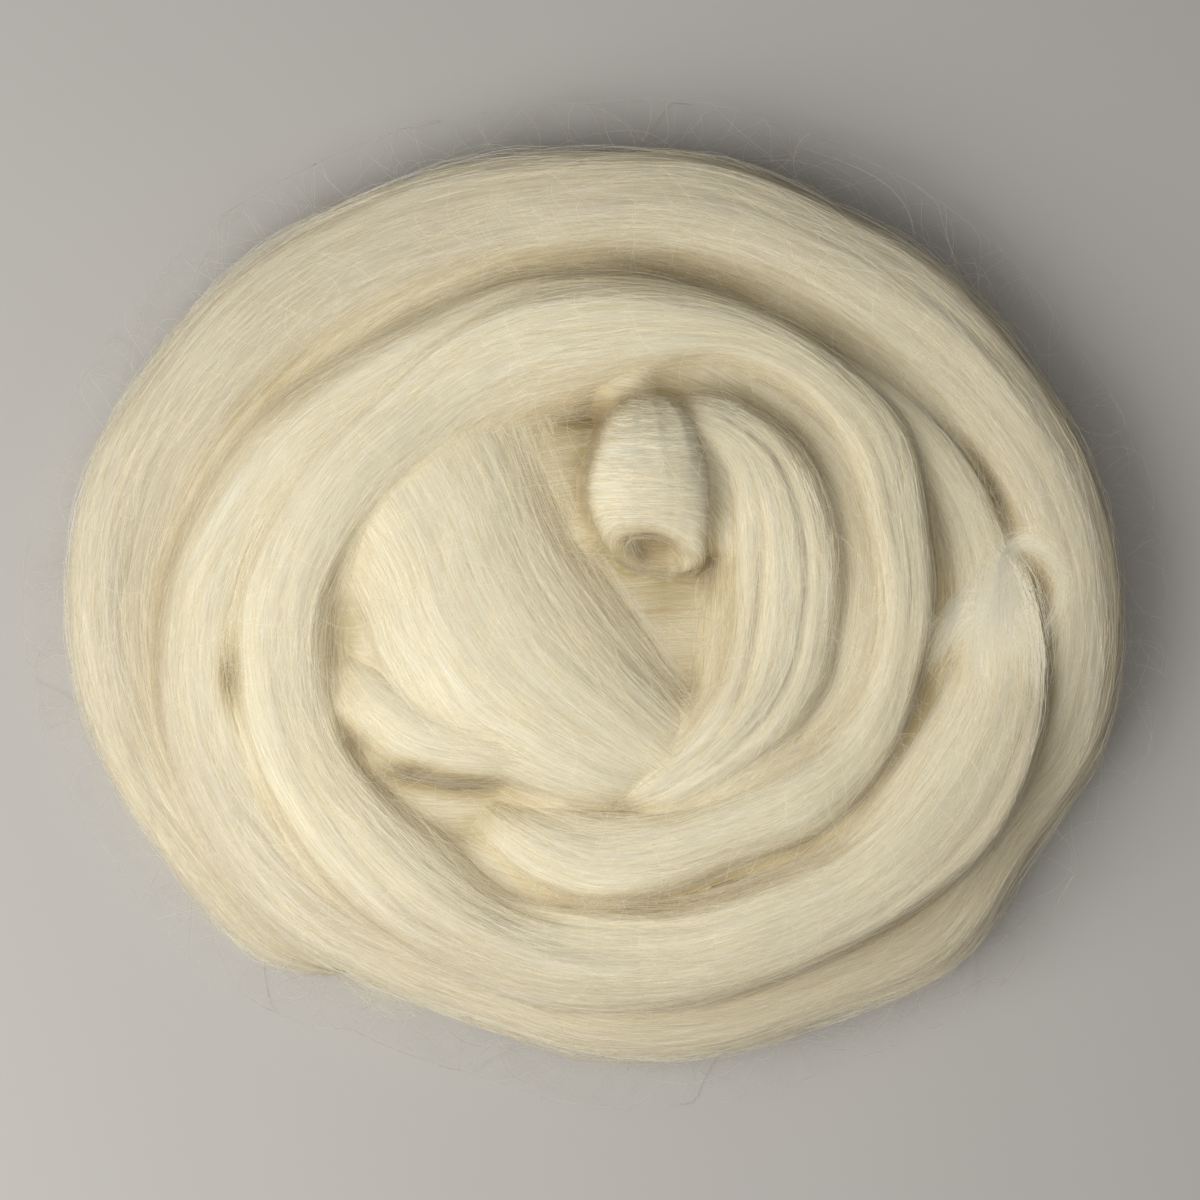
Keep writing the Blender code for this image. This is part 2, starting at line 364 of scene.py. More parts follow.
class Length:
    """One length of roving: where its surface is, at any distance along and any share of the way round."""

    def __init__(
        self,
        name,
        rows,
        locks=1.0,
        twist=0.0,
        seed=1,
        end_round=14.0,
        splits=(),
        lean=0.0,
        tilt=(0, 0),
        across=False,
    ):
        """Locks, lean and end_round are in millimetres, and twist is in turns a metre.

        A split is its place across from -1 to 1, its depth and width, and the shares of the length it runs
        between. A tilt leans the end of the tube over: how far along it begins, and by how much. Across is
        true where the fibres run round the tube, as in the curl.
        """
        self.name = name
        self.across = across
        cut, along = evenly(rows, GRID_STEP)
        self.along = along
        self.reach = along[-1]
        a, v = np.meshgrid(along, np.arange(GRID_SIDES) / GRID_SIDES, indexing="ij")
        left, right = cut[:, None, :2], cut[:, None, 2:4]
        crest, under = cut[:, 4][:, None], cut[:, 5][:, None]
        width = np.linalg.norm(right - left, axis=2)
        angle = 2 * pi * v
        square = np.where(np.sin(angle) >= 0, 2.15 + 0.55 * np.sign(lean) * np.cos(angle), 2.8)
        ends = np.minimum(a, self.reach - a)
        close = np.sqrt(np.clip(1 - (1 - np.clip(ends / end_round, 0, 1)) ** 2, 0, 1))
        turned = v + twist * a / 1000
        lift = locks * sum(
            high * ripple(a, turned, run, swells, seed + k)
            for k, (high, run, swells) in enumerate(LOCK_RIPPLES)
        )
        x = power(np.cos(angle), 2 / square)
        z = power(np.sin(angle), 2 / square)
        for across_at, depth, wide, first, last in splits:
            share = a / self.reach
            fade = np.clip((share - first) / 0.06, 0, 1) * np.clip((last - share) / 0.06, 0, 1)
            far = (x - across_at) * width / 2
            lift = lift - np.where(z > 0, depth * np.exp(-((far / wide) ** 2)) * fade, 0)
        half_high = (crest - under) / 2
        middle = (left + right) / 2
        half = (right - left) / 2
        place = np.empty((*a.shape, 3))
        place[..., :2] = middle + half * (x * close)[..., None]
        leans = lean * (1 - 0.8 * np.clip(middle[..., 0] / 70, 0, 1))
        place[..., 2] = (crest + under) / 2 + (half_high * z + leans * x * np.clip(z, 0, 1) ** 0.5) * close
        begin, most = tilt
        ahead = middle[min(2, len(along) - 1)] - middle[0]
        back = -ahead[0] / max(np.linalg.norm(ahead), 1e-9)
        place[..., :2] += (np.clip((a - begin) / 8, 0, 1) * most * z * close)[..., None] * back
        normal = self.normals_of(place)
        place += normal * (lift * close)[..., None]
        place[..., 2] = np.maximum(place[..., 2], 0.0)
        self.place = place
        self.middle = place.mean(axis=1)
        self.normal = self.normals_of(place)
        self.girth = float(np.median(np.linalg.norm(np.diff(place, axis=1), axis=2).sum(1)))

    @staticmethod
    def normals_of(place):
        forward = np.gradient(place, axis=0)
        around = (np.roll(place, -1, axis=1) - np.roll(place, 1, axis=1)) / 2
        normal = np.cross(around, forward)
        normal /= np.maximum(np.linalg.norm(normal, axis=2, keepdims=True), 1e-9)
        middle = place.mean(axis=1, keepdims=True)
        if ((place - middle) * normal).sum() < 0:
            normal = -normal
        return normal

    def sample(self, grid, at, share):
        """A grid's values at those distances along and shares of the way round."""
        x = np.clip(np.asarray(at) / self.reach, 0, 1) * (grid.shape[0] - 1)
        y = (np.asarray(share) % 1) * grid.shape[1]
        i = np.minimum(x.astype(int), grid.shape[0] - 2)
        j = np.minimum(y.astype(int), grid.shape[1] - 1)
        fx, fy = x - i, y - j
        if grid.ndim == 3:
            fx, fy = fx[..., None], fy[..., None]
        k = (j + 1) % grid.shape[1]
        near = grid[i, j] * (1 - fy) + grid[i, k] * fy
        far = grid[i + 1, j] * (1 - fy) + grid[i + 1, k] * fy
        return near * (1 - fx) + far * fx


# The upper rope is one length from its pulled end to the inner ring.
WHOLE_UPPER = np.vstack([polar_edges(LOOSE_END)[::-1], polar_edges(UPPER_TURNS)[2:]])

LENGTHS = [
    Length("outer_turns", polar_edges(OUTER_TURNS), locks=0.9, twist=0.4, seed=10, end_round=20, lean=2.2),
    Length("upper_turns", WHOLE_UPPER, locks=0.9, twist=-0.4, seed=20, end_round=12, lean=3.0),
    Length("broad_fold", np.array(BROAD_FOLD), locks=1.0, seed=40, lean=-1.5),
    Length("tucked_fold", np.array(TUCKED_FOLD), locks=0.7, seed=45, end_round=18),
    Length(
        "side_fold",
        np.array(SIDE_FOLD),
        locks=0.9,
        seed=50,
        lean=-1.0,
        splits=((0.15, 1.7, 1.8, 0.15, 0.75), (-0.5, 0.9, 1.4, 0.2, 0.9), (0.62, 0.8, 1.4, 0.3, 1.0)),
    ),
    Length("valley_layer", np.array(VALLEY_LAYER), locks=0.9, seed=60),
    Length("middle_floor", np.array(MIDDLE_FLOOR), locks=0.5, seed=70),
    Length("hidden_bed", np.array(HIDDEN_BED), locks=0.6, seed=80),
    Length("curl", np.array(CURL_SECTIONS), locks=0.4, seed=90, end_round=4, tilt=(26, 4.5), across=True),
]
BY_NAME = {length.name: length for length in LENGTHS}
for length in LENGTHS:
    print(length.name, "runs", round(length.reach), "mm, girth", round(length.girth), "mm")

# %% [markdown]
# ## The body of each length
#
# A flat grid is rolled into a tube, and each point is then moved to its place on the length. The grid
# keeps its texture coordinates, so the streaks in the material run along the wool. The pulled end is a
# piece of its own, which starts inside the upper turn so that no seam shows.

# %% Base surfaces as rolled grids

ALONG_STEP = {"hidden_bed": 9, "middle_floor": 4}
BASE_SIDES = {"hidden_bed": 48, "broad_fold": 144, "side_fold": 128}


def rolled_grid(name, stations, sides):
    """A flat grid rolled into a closed tube of unit size. Each point keeps its share along and round."""
    shape = bmesh.new()
    shape.loops.layers.uv.new("UVMap")
    bmesh.ops.create_grid(shape, x_segments=stations, y_segments=sides, size=0.5, calc_uvs=True)
    along = shape.verts.layers.float.new("along")
    around = shape.verts.layers.float.new("around")
    for vertex in shape.verts:
        share = vertex.co.x + 0.5
        turn = vertex.co.y + 0.5
        vertex[along] = share
        vertex[around] = turn % 1
        radius = 0.0 if share < 1e-4 or share > 1 - 1e-4 else 1.0
        vertex.co = (share * 10, radius * cos(2 * pi * turn), radius * sin(2 * pi * turn))
    bmesh.ops.remove_doubles(shape, verts=shape.verts, dist=1e-5)
    bmesh.ops.recalc_face_normals(shape, faces=shape.faces)
    mesh = bpy.data.meshes.new(name)
    shape.to_mesh(mesh)
    shape.free()
    obj = bpy.data.objects.new(name, mesh)
    bpy.context.scene.collection.objects.link(obj)
    return obj


def values_of(mesh, name):
    found = np.empty(len(mesh.vertices), np.float32)
    mesh.attributes[name].data.foreach_get("value", found)
    return found


def keep_values(mesh, name, values):
    layer = mesh.attributes.get(name) or mesh.attributes.new(name, "FLOAT", "POINT")
    layer.data.foreach_set("value", np.asarray(values, np.float32))


def set_places(mesh, places):
    mesh.vertices.foreach_set("co", (np.asarray(places) * MM).astype(np.float32).ravel())
    mesh.update()


def base_piece(name, length, first=0.0, last=None, sink=0.0):
    """The part of a length between two distances along it, as a closed piece that rounds off at both ends."""
    last = length.reach if last is None else last
    stations = max(8, round((last - first) / ALONG_STEP.get(length.name, 3.1)))
    obj = rolled_grid(name, stations, BASE_SIDES.get(length.name, 100))
    mesh = obj.data
    at = first + values_of(mesh, "along") * (last - first)
    share = values_of(mesh, "around")
    share = (share + 0.1 * np.cos(2 * pi * share)) % 1
    place = length.sample(length.place, at, share)
    ends = np.ones_like(at)
    if first > 0:
        ends = np.minimum(ends, (at - first) / 10)
    if last < length.reach:
        ends = np.minimum(ends, (last - at) / 10)
    close = np.sqrt(np.clip(1 - (1 - np.clip(ends, 0, 1)) ** 2, 0, 1))[:, None]
    middle = length.sample(np.repeat(length.middle[:, None], 2, axis=1), at, np.zeros_like(share))
    place = middle + (place - middle) * close
    deep = sink * np.clip((30 - (last - at)) / 12, 0, 1)
    place -= length.sample(length.normal, at, share) * deep[:, None]
    set_places(mesh, place)
    mesh.shade_smooth()
    length.bases = [*getattr(length, "bases", []), (obj, at, share)]
    print(name, len(mesh.polygons) * 2, "triangles")
    return obj


LOOSE_REACH = 172
SCARF = 34
for length in LENGTHS:
    if length.name != "upper_turns":
        base_piece(length.name, length)
upper = BY_NAME["upper_turns"]
loose = base_piece("pulled_end", upper, last=LOOSE_REACH, sink=0.25)
base_piece("upper_turns", upper, first=LOOSE_REACH - SCARF)

# %% [markdown]
# ## A map of the top
#
# Creases, filling and stray hairs all need to know how high the wool is at a place, so rays are cast
# straight down on a grid 0.8 mm apart. A ball is then rolled over the map. Where it can't reach, there is
# a crease.

# %% The top of the nest as a map of heights

MAP_STEP = 0.8
map_x = np.arange(-136, 136.1, MAP_STEP)
map_y = np.arange(-120, 120.1, MAP_STEP)


def all_surfaces():
    """Every base piece in one tree for casting rays."""
    points, faces, start = [], [], 0
    for length in LENGTHS:
        for obj, _, _ in length.bases:
            mesh = obj.data
            points.extend(v.co.copy() for v in mesh.vertices)
            faces.extend(tuple(start + i for i in p.vertices) for p in mesh.polygons)
            start += len(mesh.vertices)
    return BVHTree.FromPolygons(points, faces)


def height_map(surfaces):
    """How high the top is at each place of the map, in millimetres, and 0 where there is none."""
    found = np.zeros((len(map_x), len(map_y)))
    down = Vector((0, 0, -1))
    for i, x in enumerate(map_x):
        for j, y in enumerate(map_y):
            hit = surfaces.ray_cast(Vector((x * MM, y * MM, 0.2)), down, 0.3)[0]
            if hit is not None:
                found[i, j] = hit.z / MM
    return found


def at_map(grid, x, y):
    """A map's values at those places."""
    u = np.clip((np.asarray(x) - map_x[0]) / MAP_STEP, 0, len(map_x) - 1.001)
    v = np.clip((np.asarray(y) - map_y[0]) / MAP_STEP, 0, len(map_y) - 1.001)
    i, j = u.astype(int), v.astype(int)
    fu, fv = u - i, v - j
    near = grid[i, j] * (1 - fv) + grid[i, j + 1] * fv
    far = grid[i + 1, j] * (1 - fv) + grid[i + 1, j + 1] * fv
    return near * (1 - fu) + far * fu


def moved(grid, i, j):
    """The map shifted by whole steps."""
    return np.roll(grid, (i, j), (0, 1))


def blurred(grid, times):
    for _ in range(times):
        grid = (moved(grid, 1, 0) + 2 * grid + moved(grid, -1, 0)) / 4
        grid = (moved(grid, 0, 1) + 2 * grid + moved(grid, 0, -1)) / 4
    return grid


def rolled_over(heights, radius):
    """Every crease filled to where a ball of that radius would touch it."""
    reach = int(radius / MAP_STEP)
    ball = []
    for i in range(-reach, reach + 1):
        for j in range(-reach, reach + 1):
            far = MAP_STEP * sqrt(i * i + j * j)
            if far < radius:
                ball.append((i, j, radius - sqrt(radius * radius - far * far)))
    centre = np.full_like(heights, -1e3)
    for i, j, drop in ball:
        centre = np.maximum(centre, moved(heights, i, j) - drop)
    top = np.full_like(heights, 1e3)
    for i, j, drop in ball:
        top = np.minimum(top, moved(centre, i, j) + drop)
    return top


hard_top = height_map(all_surfaces())
print("highest", round(float(hard_top.max()), 1), "mm")

# %% [markdown]
# ## Soft creases
#
# Two tubes that touch make a sharp, deep groove. Two lengths of wool don't: their fibres spread and meet
# halfway. So most of what the ball can't reach is filled. One table says where the real creases stay
# deep, and another where shade is painted into the wool's colour, where little light gets in. The share of
# the sky that each place sees is worked out from the same map. The material paints shade from it, darker
# and browner where less sky is seen, since light that bounces inside wool comes out browner.

# %% Soft wool fills its own creases

FILLING_BALL = 5.5
EVERY_CREASE = 0.9
DEEP_CREASES = (
    # x, y, how far it reaches, millimetres of filling left out
    (10.5, 80, 14, 3.5),
    (32, 78, 11, 1.9),
    (-14, 77, 12, 1.8),
    (-75, 46, 14, 1.5),
    (-57, -31, 6, 3.0),
    (-50, -36, 6, 4.0),
    (-40, -41, 6, 4.5),
    (-28, -43, 6, 3.5),
    (-87, -16, 9, 3.0),
    (-83, 2, 11, 1.0),
    (-55, -12, 8, 1.0),
    (-30, 44, 12, 0.8),
    (-12, 49, 8, 2.0),
    (-4, 43, 5, 4.0),
    (10.6, 12.2, 7.5, 14),
    (26.5, 8, 4, 6.0),
    (22, -17, 4, 3.0),
    (0, -47, 10, 2.0),
    (14, -47, 8, 2.0),
    (0, -69, 16, 3.0),
    (24, -68, 16, 2.6),
    (48, -56, 14, 2.4),
    (72, -24, 10, 2.5),
    (68, -40, 12, 2.5),
    (95, 28, 14, 3.0),
    (106, -6, 10, 1.5),
    (62, -8, 10, 1.5),
)
# Places where shade is painted into the colour, darker than the sky share alone makes them.
PAINTED_SHADE_POCKETS = (
    # x, y, how far it reaches along x and along y, and the share of the light left there in the painted shade
    (10.6, 12.2, 6.5, 3.4, 0.22),
    (27, 7, 3, 5, 0.6),
    (-4, 43, 6, 2.4, 0.45),
    (22, -17, 3, 6, 0.7),
    (17, 0, 7, 9, 0.6),
    (32, -6, 5, 16, 0.72),
    (-56, -32, 6, 4, 0.55),
    (-44, -40, 8, 4, 0.15),
    (-31, -42.5, 9, 3, 0.2),
    (-20, -50, 8, 5, 0.75),
    (-72, 47, 12, 6, 0.85),
    (-86, -17, 3.5, 8, 0.32),
    (78, -20, 3.5, 7, 0.6),
    (84, -13, 4.5, 5.5, 0.62),
    (47, 38, 9, 10, 0.75),
    (61, 12, 6, 20, 0.75),
    (107, -6, 2.5, 16, 0.75),
    (104.5, 4, 3.4, 7, 0.42),
    (8, -70, 16, 3, 0.72),
    (34, -65, 12, 3, 0.75),
    (50, -57, 10, 4, 0.75),
    (64, -47, 8, 5, 0.78),
    (10, -47.5, 12, 2, 0.75),
    (-58, -6, 4, 8, 0.75),
    (-97, -4, 8, 22, 0.93),
    (-62, -48, 12, 9, 0.93),
    (5, 56, 18, 5, 0.93),
)

gx, gy = np.meshgrid(map_x, map_y, indexing="ij")
left_out = np.full_like(hard_top, EVERY_CREASE)
for x, y, reach, deep in DEEP_CREASES:
    left_out += deep * np.exp(-((gx - x) ** 2 + (gy - y) ** 2) / reach ** 2)
filling = np.maximum(0, rolled_over(hard_top, FILLING_BALL) - hard_top - left_out)
soft_top = np.maximum(hard_top, blurred(hard_top + filling, 2))
filling = soft_top - hard_top
print("deepest filling", round(float(filling.max()), 1), "mm")


SKY_WAYS = 16
SKY_REACHES = (1.6, 2.4, 4, 6, 8.8, 12.8, 17.6)
SKY_LEAST = 0.38
SKY_RANGE = 0.54


def sky_share(heights):
    """How much of the sky each place sees, 0 to 1, from the steepest rise near it each way round."""
    seen = np.zeros_like(heights)
    for k in range(SKY_WAYS):
        turn = 2 * pi * (k + 0.5) / SKY_WAYS
        steepest = np.zeros_like(heights)
        for far in SKY_REACHES:
            i, j = round(far * cos(turn) / MAP_STEP), round(far * sin(turn) / MAP_STEP)
            rise = moved(heights, -i, -j) - heights
            steepest = np.maximum(steepest, rise / far)
        seen += 1 / (1 + steepest ** 2)
    return np.clip((seen / SKY_WAYS - SKY_LEAST) / SKY_RANGE, 0, 1)


# Painted shade: the material darkens and browns the wool where a place sees less of the sky.
open_sky = blurred(sky_share(blurred(soft_top, 1)), 1)
# Painted shade: the listed places are darkened further.
painted_pockets = np.ones_like(open_sky)
for x, y, reach_x, reach_y, left in PAINTED_SHADE_POCKETS:
    near = np.exp(-(((gx - x) / reach_x) ** 2) - ((gy - y) / reach_y) ** 2)
    painted_pockets *= 1 - (1 - left) * near
shares = np.percentile(open_sky[hard_top > 20], (1, 5, 20, 50, 80))
print("open share of the top", [round(float(v), 2) for v in shares])


def outline_radius(bearing):
    """The outline's radius at those bearings, from the outer turn."""
    rows = np.array(OUTER_TURNS)
    rows = rows[rows[:, 0] > -130]
    order = np.argsort(rows[:, 0] % 360)
    return np.interp(bearing % (2 * pi) * 180 / pi, rows[order, 0] % 360, rows[order, 2], period=360)


FLANK_DEPTH = 8
# The flanks under the top get a middling painted shade.
FLANK_OPENNESS = 0.6
RIM_WIDE = 16
OUTER_GREY_WIDE = 30


def openness_at(place):
    """How open a point is, from which the material paints shade: what the map says near the top, and a
    middling value on the flanks.

    The outline is painted open to the side, and a little less so at the right, as painted shade where it
    is turned from the light.
    """
    x, y, z = place[..., 0], place[..., 1], place[..., 2]
    near_top = np.clip((FLANK_DEPTH - (at_map(soft_top, x, y) - z)) / 4, 0, 1)
    rim = np.clip((np.hypot(x, y) - outline_radius(np.arctan2(y, x)) + RIM_WIDE) / 8, 0, 1)
    opened = near_top * at_map(open_sky, x, y) + (1 - near_top) * FLANK_OPENNESS
    opened = opened * at_map(painted_pockets, x, y)
    # Painted shade: the rim is painted open, less so at the right, which is turned from the light.
    painted_rim_openness = 0.95 - 0.22 * np.clip(x / 110, 0, 1)
    return opened * (1 - rim) + rim * np.maximum(opened, painted_rim_openness)


def outer_grey_at(place):
    """1 on the outer turn, which is drawn greyer and a little darker, and 0 on the rest."""
    x, y = place[..., 0], place[..., 1]
    return np.clip((np.hypot(x, y) - outline_radius(np.arctan2(y, x)) + OUTER_GREY_WIDE) / 12, 0, 1)


def keep_tones(mesh, places):
    """The openness that sets the painted shade, and the outer grey, both stored on the mesh for the material.
    """
    keep_values(mesh, "openness", openness_at(places))
    keep_values(mesh, "thinness", outer_grey_at(places))


for length in LENGTHS:
    for obj, at, share in length.bases:
        places = np.empty(len(obj.data.vertices) * 3, np.float32)
        obj.data.vertices.foreach_get("co", places)
        keep_tones(obj.data, places.reshape(-1, 3) / MM)

# %% [markdown]
# ## The filling
#
# One closed sheet follows the filled map. It hides just under the lengths and comes out only in the
# creases. Joining the lengths into one remeshed skin would be simpler, but it would lose the streaks
# along each length.

# %% The filling as one soft sheet under the creases

SHEET_STEP = 1.3
SHEET_HALF = 136
SHEET_INSET = 7
SHEET_HIDES = 0.55
SHEET_LOWEST_TOP = 2.5
SHEET_FOOT = 1.5

shape = bmesh.new()
shape.loops.layers.uv.new("UVMap")
cells = int(2 * SHEET_HALF / SHEET_STEP)
bmesh.ops.create_grid(shape, x_segments=cells, y_segments=cells, size=SHEET_HALF * MM, calc_uvs=True)
outside = []
for vertex in shape.verts:
    x, y = vertex.co.x / MM, vertex.co.y / MM
    if sqrt(x * x + y * y) > outline_radius(np.arctan2(y, x)) - SHEET_INSET:
        outside.append(vertex)
bmesh.ops.delete(shape, geom=outside, context="VERTS")
shape.verts.ensure_lookup_table()
spread = np.array([v.co[:2] for v in shape.verts]) / MM
fills = at_map(filling, spread[:, 0], spread[:, 1])
shown = np.clip(fills, 0, 1)
tops = at_map(soft_top, spread[:, 0], spread[:, 1]) - SHEET_HIDES * (1 - shown * shown * (3 - 2 * shown))
for vertex, top in zip(shape.verts, tops):
    vertex.co.z = max(top, SHEET_LOWEST_TOP) * MM
rim = [edge for edge in shape.edges if edge.is_boundary]
grown = bmesh.ops.extrude_edge_only(shape, edges=rim)["geom"]
lower = [item for item in grown if isinstance(item, bmesh.types.BMVert)]
for vertex in lower:
    vertex.co.z = SHEET_FOOT * MM
bmesh.ops.holes_fill(shape, edges=[e for e in shape.edges if e.is_boundary], sides=0)
bmesh.ops.recalc_face_normals(shape, faces=shape.faces)
uv = shape.loops.layers.uv.verify()
for face in shape.faces:
    face.smooth = True
    for loop in face.loops:
        x, y = loop.vert.co.x, loop.vert.co.y
        loop[uv].uv = (np.arctan2(y, x) * 0.08, sqrt(x * x + y * y))
sheet_mesh = bpy.data.meshes.new("soft_filling")
shape.to_mesh(sheet_mesh)
shape.free()
soft_filling = bpy.data.objects.new("soft_filling", sheet_mesh)
bpy.context.scene.collection.objects.link(soft_filling)
places = np.empty(len(sheet_mesh.vertices) * 3, np.float32)
sheet_mesh.vertices.foreach_get("co", places)
keep_tones(sheet_mesh, places.reshape(-1, 3) / MM)
print("soft_filling", sum(len(p.vertices) - 2 for p in sheet_mesh.polygons), "triangles")

# %% [markdown]
# ## The wool material
#
# Raw wool is cream, with a slight shine along the fibre. Up close it is all fine streaks, pale where
# fibres lie on top and tan in between. The colour comes from four things: painted shade from how open the
# place is, darker and browner in the creases, a greyer and darker tone on the outer turn, and two layers
# of noise that are stretched along the rope. The same noise gives a slight bump. The single fibres let
# light through, so they are part translucent, and their paler ones are painted paler still in open places.
# Hair curves would look finer still, but they would not go out with the object as plain meshes.

# %% Helper: shader maths


class Sock:
    """A socket that can be added, multiplied and so on."""

    def __init__(self, tree, socket):
        self.tree = tree
        self.socket = socket

    def maths(self, operation, *others):
        node = self.tree.nodes.new("ShaderNodeMath")
        node.operation = operation
        for at, value in enumerate((self, *others)):
            feed(self.tree, node.inputs[at], value)
        return Sock(self.tree, node.outputs[0])

    def __add__(self, other):
        return self.maths("ADD", other)

    def __radd__(self, other):
        return self.maths("ADD", other)

    def __sub__(self, other):
        return self.maths("SUBTRACT", other)

    def __rsub__(self, other):
        return feed_first(self.tree, other).maths("SUBTRACT", self)

    def __mul__(self, other):
        return self.maths("MULTIPLY", other)

    def __rmul__(self, other):
        return self.maths("MULTIPLY", other)


def feed(tree, socket, value):
    """A link into a socket, or a plain value on it."""
    if isinstance(value, Sock):
        tree.links.new(value.socket, socket)
    else:
        socket.default_value = value


def feed_first(tree, number):
    node = tree.nodes.new("ShaderNodeValue")
    node.outputs[0].default_value = number
    return Sock(tree, node.outputs[0])


def add_node(tree, kind, settings, out=0, **values):
    """A node of that type: its settings first, then the values or links of its sockets, by name."""
    node = tree.nodes.new(kind)
    for key, value in settings.items():
        if key == "stops":
            ramp = node.color_ramp
            while len(ramp.elements) < len(value):
                ramp.elements.new(0.5)
            for element, (place, colour) in zip(ramp.elements, value):
                element.position = place
                element.color = colour
        else:
            setattr(node, key, value)
    for key, value in values.items():
        name = key.replace("_", " ")
        socket = next(s for s in node.inputs if s.name == name and s.enabled)
        feed(tree, socket, value)
    enabled = [s for s in node.outputs if s.enabled]
    return Sock(tree, enabled[out] if isinstance(out, int) else node.outputs[out])


def mixed(tree, share, first, second):
    """A colour between two, by share."""
    return add_node(tree, "ShaderNodeMix", {"data_type": "RGBA"}, Factor=share, A=first, B=second)


def multiplied(tree, first, second):
    """Two colours multiplied."""
    settings = {"data_type": "RGBA", "blend_type": "MULTIPLY"}
    return add_node(tree, "ShaderNodeMix", settings, Factor=1.0, A=first, B=second)


# %% Materials

# Painted shade: from dark brown where a place sees little sky to the wool's own cream where it is open.
CREAM_AND_PAINTED_SHADE_STOPS = (
    (0.05, (0.23, 0.17, 0.09, 1)),
    (0.28, (0.48, 0.395, 0.24, 1)),
    (0.52, (0.70, 0.62, 0.435, 1)),
    (0.75, (0.835, 0.78, 0.62, 1)),
    (1.00, (0.905, 0.872, 0.738, 1)),
)


def wool_material(name, streaks):
    """Wool as a body with streaks along it, or, without streaks, as single fibres that let light through."""
    material = bpy.data.materials.new(name)
    material.use_nodes = True
    tree = material.node_tree
    surface = tree.nodes["Principled BSDF"]
    opened = add_node(tree, "ShaderNodeAttribute", {"attribute_name": "openness"}, out="Fac")
    shade = add_node(tree, "ShaderNodeAttribute", {"attribute_name": "shade"}, out="Fac")
    # Painted shade: the colour follows how open the place is.
    colour = add_node(tree, "ShaderNodeValToRGB", {"stops": CREAM_AND_PAINTED_SHADE_STOPS}, Fac=opened)
    # The outer turn is drawn greyer and a little darker.
    thin = add_node(tree, "ShaderNodeAttribute", {"attribute_name": "thinness"}, out="Fac")
    colour = multiplied(tree, colour, mixed(tree, thin, (1, 1, 1, 1), (0.84, 0.825, 0.82, 1)))
    if streaks:
        uv = add_node(tree, "ShaderNodeUVMap", {"uv_map": "UVMap"})
        fine = add_node(tree, "ShaderNodeMapping", {}, Vector=uv, Scale=(75, 2300, 1))
        noise = add_node(
            tree,
            "ShaderNodeTexNoise",
            {"noise_dimensions": "2D"},
            Vector=fine,
            Scale=1.0,
            Detail=4.0,
            Roughness=0.7,
            Distortion=0.8,
        )
        broad = add_node(tree, "ShaderNodeMapping", {}, Vector=uv, Scale=(22, 430, 1))
        lock = add_node(
            tree,
            "ShaderNodeTexNoise",
            {"noise_dimensions": "2D"},
            Vector=broad,
            Scale=1.0,
            Detail=2.0,
            Roughness=0.5,
            Distortion=0.5,
        )
        streak = noise * 0.78 + lock * 0.22
        pale = mixed(tree, (streak - 0.36) * 3.2, (0.76, 0.69, 0.54, 1), (1.0, 0.99, 0.95, 1))
        colour = multiplied(tree, colour, pale)
        bump = add_node(tree, "ShaderNodeBump", {}, Height=streak, Strength=0.5, Distance=0.0005)
        feed(tree, surface.inputs["Normal"], bump)
    else:
        dull = mixed(tree, 0.45, colour, (0.60, 0.50, 0.33, 1))
        # Painted light: the pale fibres are painted paler where the place is open.
        bright = mixed(tree, opened * 0.45 + 0.30, colour, (0.99, 0.975, 0.91, 1))
        colour = mixed(tree, shade * 1.4 - 0.15, dull, bright)
        through = add_node(tree, "ShaderNodeBsdfTranslucent", {}, Color=(0.90, 0.865, 0.735, 1))
        both = tree.nodes.new("ShaderNodeMixShader")
        both.inputs[0].default_value = 0.42
        tree.links.new(surface.outputs[0], both.inputs[1])
        tree.links.new(through.socket, both.inputs[2])
        tree.links.new(both.outputs[0], tree.nodes["Material Output"].inputs["Surface"])
    feed(tree, surface.inputs["Base Color"], colour)
    surface.inputs["Roughness"].default_value = 0.7
    surface.inputs["Specular IOR Level"].default_value = 0.3
    surface.inputs["Sheen Weight"].default_value = 0.15
    surface.inputs["Sheen Roughness"].default_value = 0.45
    return material


body_wool = wool_material("combed wool", True)
fibre_wool = wool_material("wool fibres", False)

for length in LENGTHS:
    for obj, at, share in length.bases:
        mesh = obj.data
        mesh.materials.append(body_wool)
        uv = mesh.uv_layers["UVMap"]
        flat = np.empty(len(uv.data) * 2, np.float32)
        uv.data.foreach_get("uv", flat)
        flat = flat.reshape(-1, 2) * ((at.max() - at.min()) * MM, length.girth * MM)
        if length.across:
            flat = flat[:, ::-1]
        uv.data.foreach_set("uv", flat.astype(np.float32).ravel())
        keep_values(mesh, "shade", np.full(len(mesh.vertices), 0.5))
        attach(obj, "root")
sheet_mesh.materials.append(body_wool)
keep_values(sheet_mesh, "shade", np.full(len(sheet_mesh.vertices), 0.5))
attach(soft_filling, "root")

# %% [markdown]
# ## Combed fibres
#
# Fibres give the wool its soft edge and its grain. Each is one thin closed tube that follows the surface
# for some centimetres, waves a little and drifts a little sideways. One fibre is rolled from a grid,
# copied by an array into a few large meshes, and its points are moved into place. Fibres that lie just
# under the filled top are drawn up onto it, so the creases are woolly too. Those that would be out of
# sight are left out.

# %% Fibres


def fibre_block(name, count, segments):
    """That many copies of one thin closed fibre, joined, with each point's place on its own fibre."""
    one = rolled_grid(name, segments, 3)
    copies = one.modifiers.new("copies", "ARRAY")
    copies.count = count
    copies.use_relative_offset = False
    copies.use_constant_offset = True
    copies.constant_offset_displace = (0, 3, 0)
    graph = bpy.context.evaluated_depsgraph_get()
    mesh = bpy.data.meshes.new_from_object(one.evaluated_get(graph))
    one.modifiers.clear()
    old = one.data
    one.data = mesh
    bpy.data.meshes.remove(old)
    mesh.name = name
    return one


